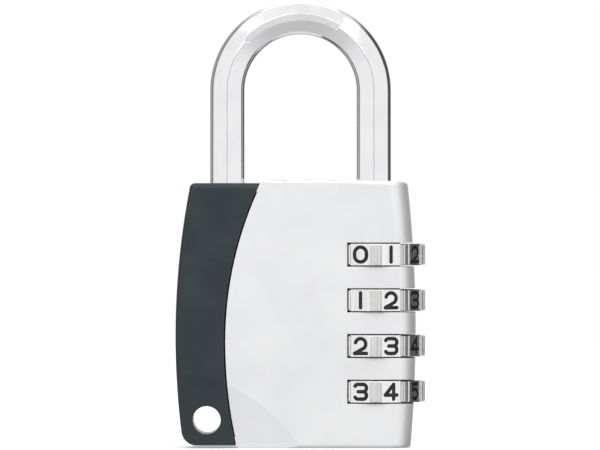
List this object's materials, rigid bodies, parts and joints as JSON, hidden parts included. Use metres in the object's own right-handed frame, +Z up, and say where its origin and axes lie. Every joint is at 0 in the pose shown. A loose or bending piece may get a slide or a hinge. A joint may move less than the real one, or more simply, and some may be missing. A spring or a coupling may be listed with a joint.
{
  "type": "combination padlock",
  "caption": "Combination padlock with numbered dials in its right side, a six-sided chrome shackle, a silver body and a dark side cover with a lanyard hole.",
  "frame": {"origin": "on the plane the lock stands on, under the middle of its overall box", "axes": "+Z up along the shackle's legs, +X to the right towards the dials, +Y from the front face to the back"},
  "size_m": [0.0448, 0.0186, 0.0803],
  "materials": {
    "satin_silver": "fine satin silver lacquer on a zinc casting",
    "anthracite_shell": "fine matt moulded grain",
    "shackle_chrome": "bright polished plating",
    "bush_steel": "turned",
    "pin_steel": "ground",
    "spring_steel": "rolled",
    "plate_silver": "satin silver",
    "dial_nickel": "satin nickel, bright on the ribs",
    "dial_ink": "black enamel filled into the engraved digits",
    "sleeve_brass": "turned"
  },
  "bodies": {
    "root": {"body_casting": "satin_silver", "side_cover": "anthracite_shell", "cover_pins": "pin_steel", "long_leg_bush": "bush_steel", "toe_bush": "bush_steel", "stop_pin": "pin_steel", "detent_spring": "spring_steel", "reset_spring": "spring_steel", "base_plate": "plate_silver", "base_screw": "pin_steel"},
    "shackle": {"shackle": "shackle_chrome"},
    "reset_washer": {"reset_washer": "pin_steel"},
    "dial_1": {"dial_1": "dial_nickel", "digit_enamel_1": "dial_ink"},
    "clutch_sleeve_1": {"clutch_sleeve_1": "sleeve_brass"},
    "dial_2": {"dial_2": "dial_nickel", "digit_enamel_2": "dial_ink"},
    "clutch_sleeve_2": {"clutch_sleeve_2": "sleeve_brass"},
    "dial_3": {"dial_3": "dial_nickel", "digit_enamel_3": "dial_ink"},
    "clutch_sleeve_3": {"clutch_sleeve_3": "sleeve_brass"},
    "dial_4": {"dial_4": "dial_nickel", "digit_enamel_4": "dial_ink"},
    "clutch_sleeve_4": {"clutch_sleeve_4": "sleeve_brass"}
  },
  "joints": [
    {"name": "shackle_lift", "type": "slide", "parent": "root", "child": "shackle", "axis": [0, 0, 1], "range_m": [0, 0.005]},
    {"name": "dial_1_turn", "type": "hinge", "parent": "root", "child": "dial_1", "pos_m": [0.01315, 0, 0.03461], "axis": [0, 0, 1], "continuous": true, "deforming": ["detent_spring"]},
    {"name": "dial_2_turn", "type": "hinge", "parent": "root", "child": "dial_2", "pos_m": [0.01315, 0, 0.02644], "axis": [0, 0, 1], "continuous": true},
    {"name": "dial_3_turn", "type": "hinge", "parent": "root", "child": "dial_3", "pos_m": [0.01315, 0, 0.01827], "axis": [0, 0, 1], "continuous": true},
    {"name": "dial_4_turn", "type": "hinge", "parent": "root", "child": "dial_4", "pos_m": [0.01315, 0, 0.0101], "axis": [0, 0, 1], "continuous": true},
    {"name": "reset_press", "type": "slide", "parent": "root", "child": "reset_washer", "axis": [0, 0, -1], "range_m": [0, 0.0013], "stiffness_N_per_m": 800, "springref_m": -0.002, "deforming": ["reset_spring"]},
    {"name": "clutch_sleeve_1_slide", "type": "slide", "parent": "dial_1", "child": "clutch_sleeve_1", "axis": [0, 0, -1], "range_m": [0, 0.0013]},
    {"name": "clutch_sleeve_2_slide", "type": "slide", "parent": "dial_2", "child": "clutch_sleeve_2", "axis": [0, 0, -1], "range_m": [0, 0.0013]},
    {"name": "clutch_sleeve_3_slide", "type": "slide", "parent": "dial_3", "child": "clutch_sleeve_3", "axis": [0, 0, -1], "range_m": [0, 0.0013]},
    {"name": "clutch_sleeve_4_slide", "type": "slide", "parent": "dial_4", "child": "clutch_sleeve_4", "axis": [0, 0, -1], "range_m": [0, 0.0013]}
  ],
  "couplings": [
    {"joint": "clutch_sleeve_1_slide", "follows": "reset_press", "ratio": 1},
    {"joint": "clutch_sleeve_2_slide", "follows": "reset_press", "ratio": 1},
    {"joint": "clutch_sleeve_3_slide", "follows": "reset_press", "ratio": 1},
    {"joint": "clutch_sleeve_4_slide", "follows": "reset_press", "ratio": 1}
  ]
}
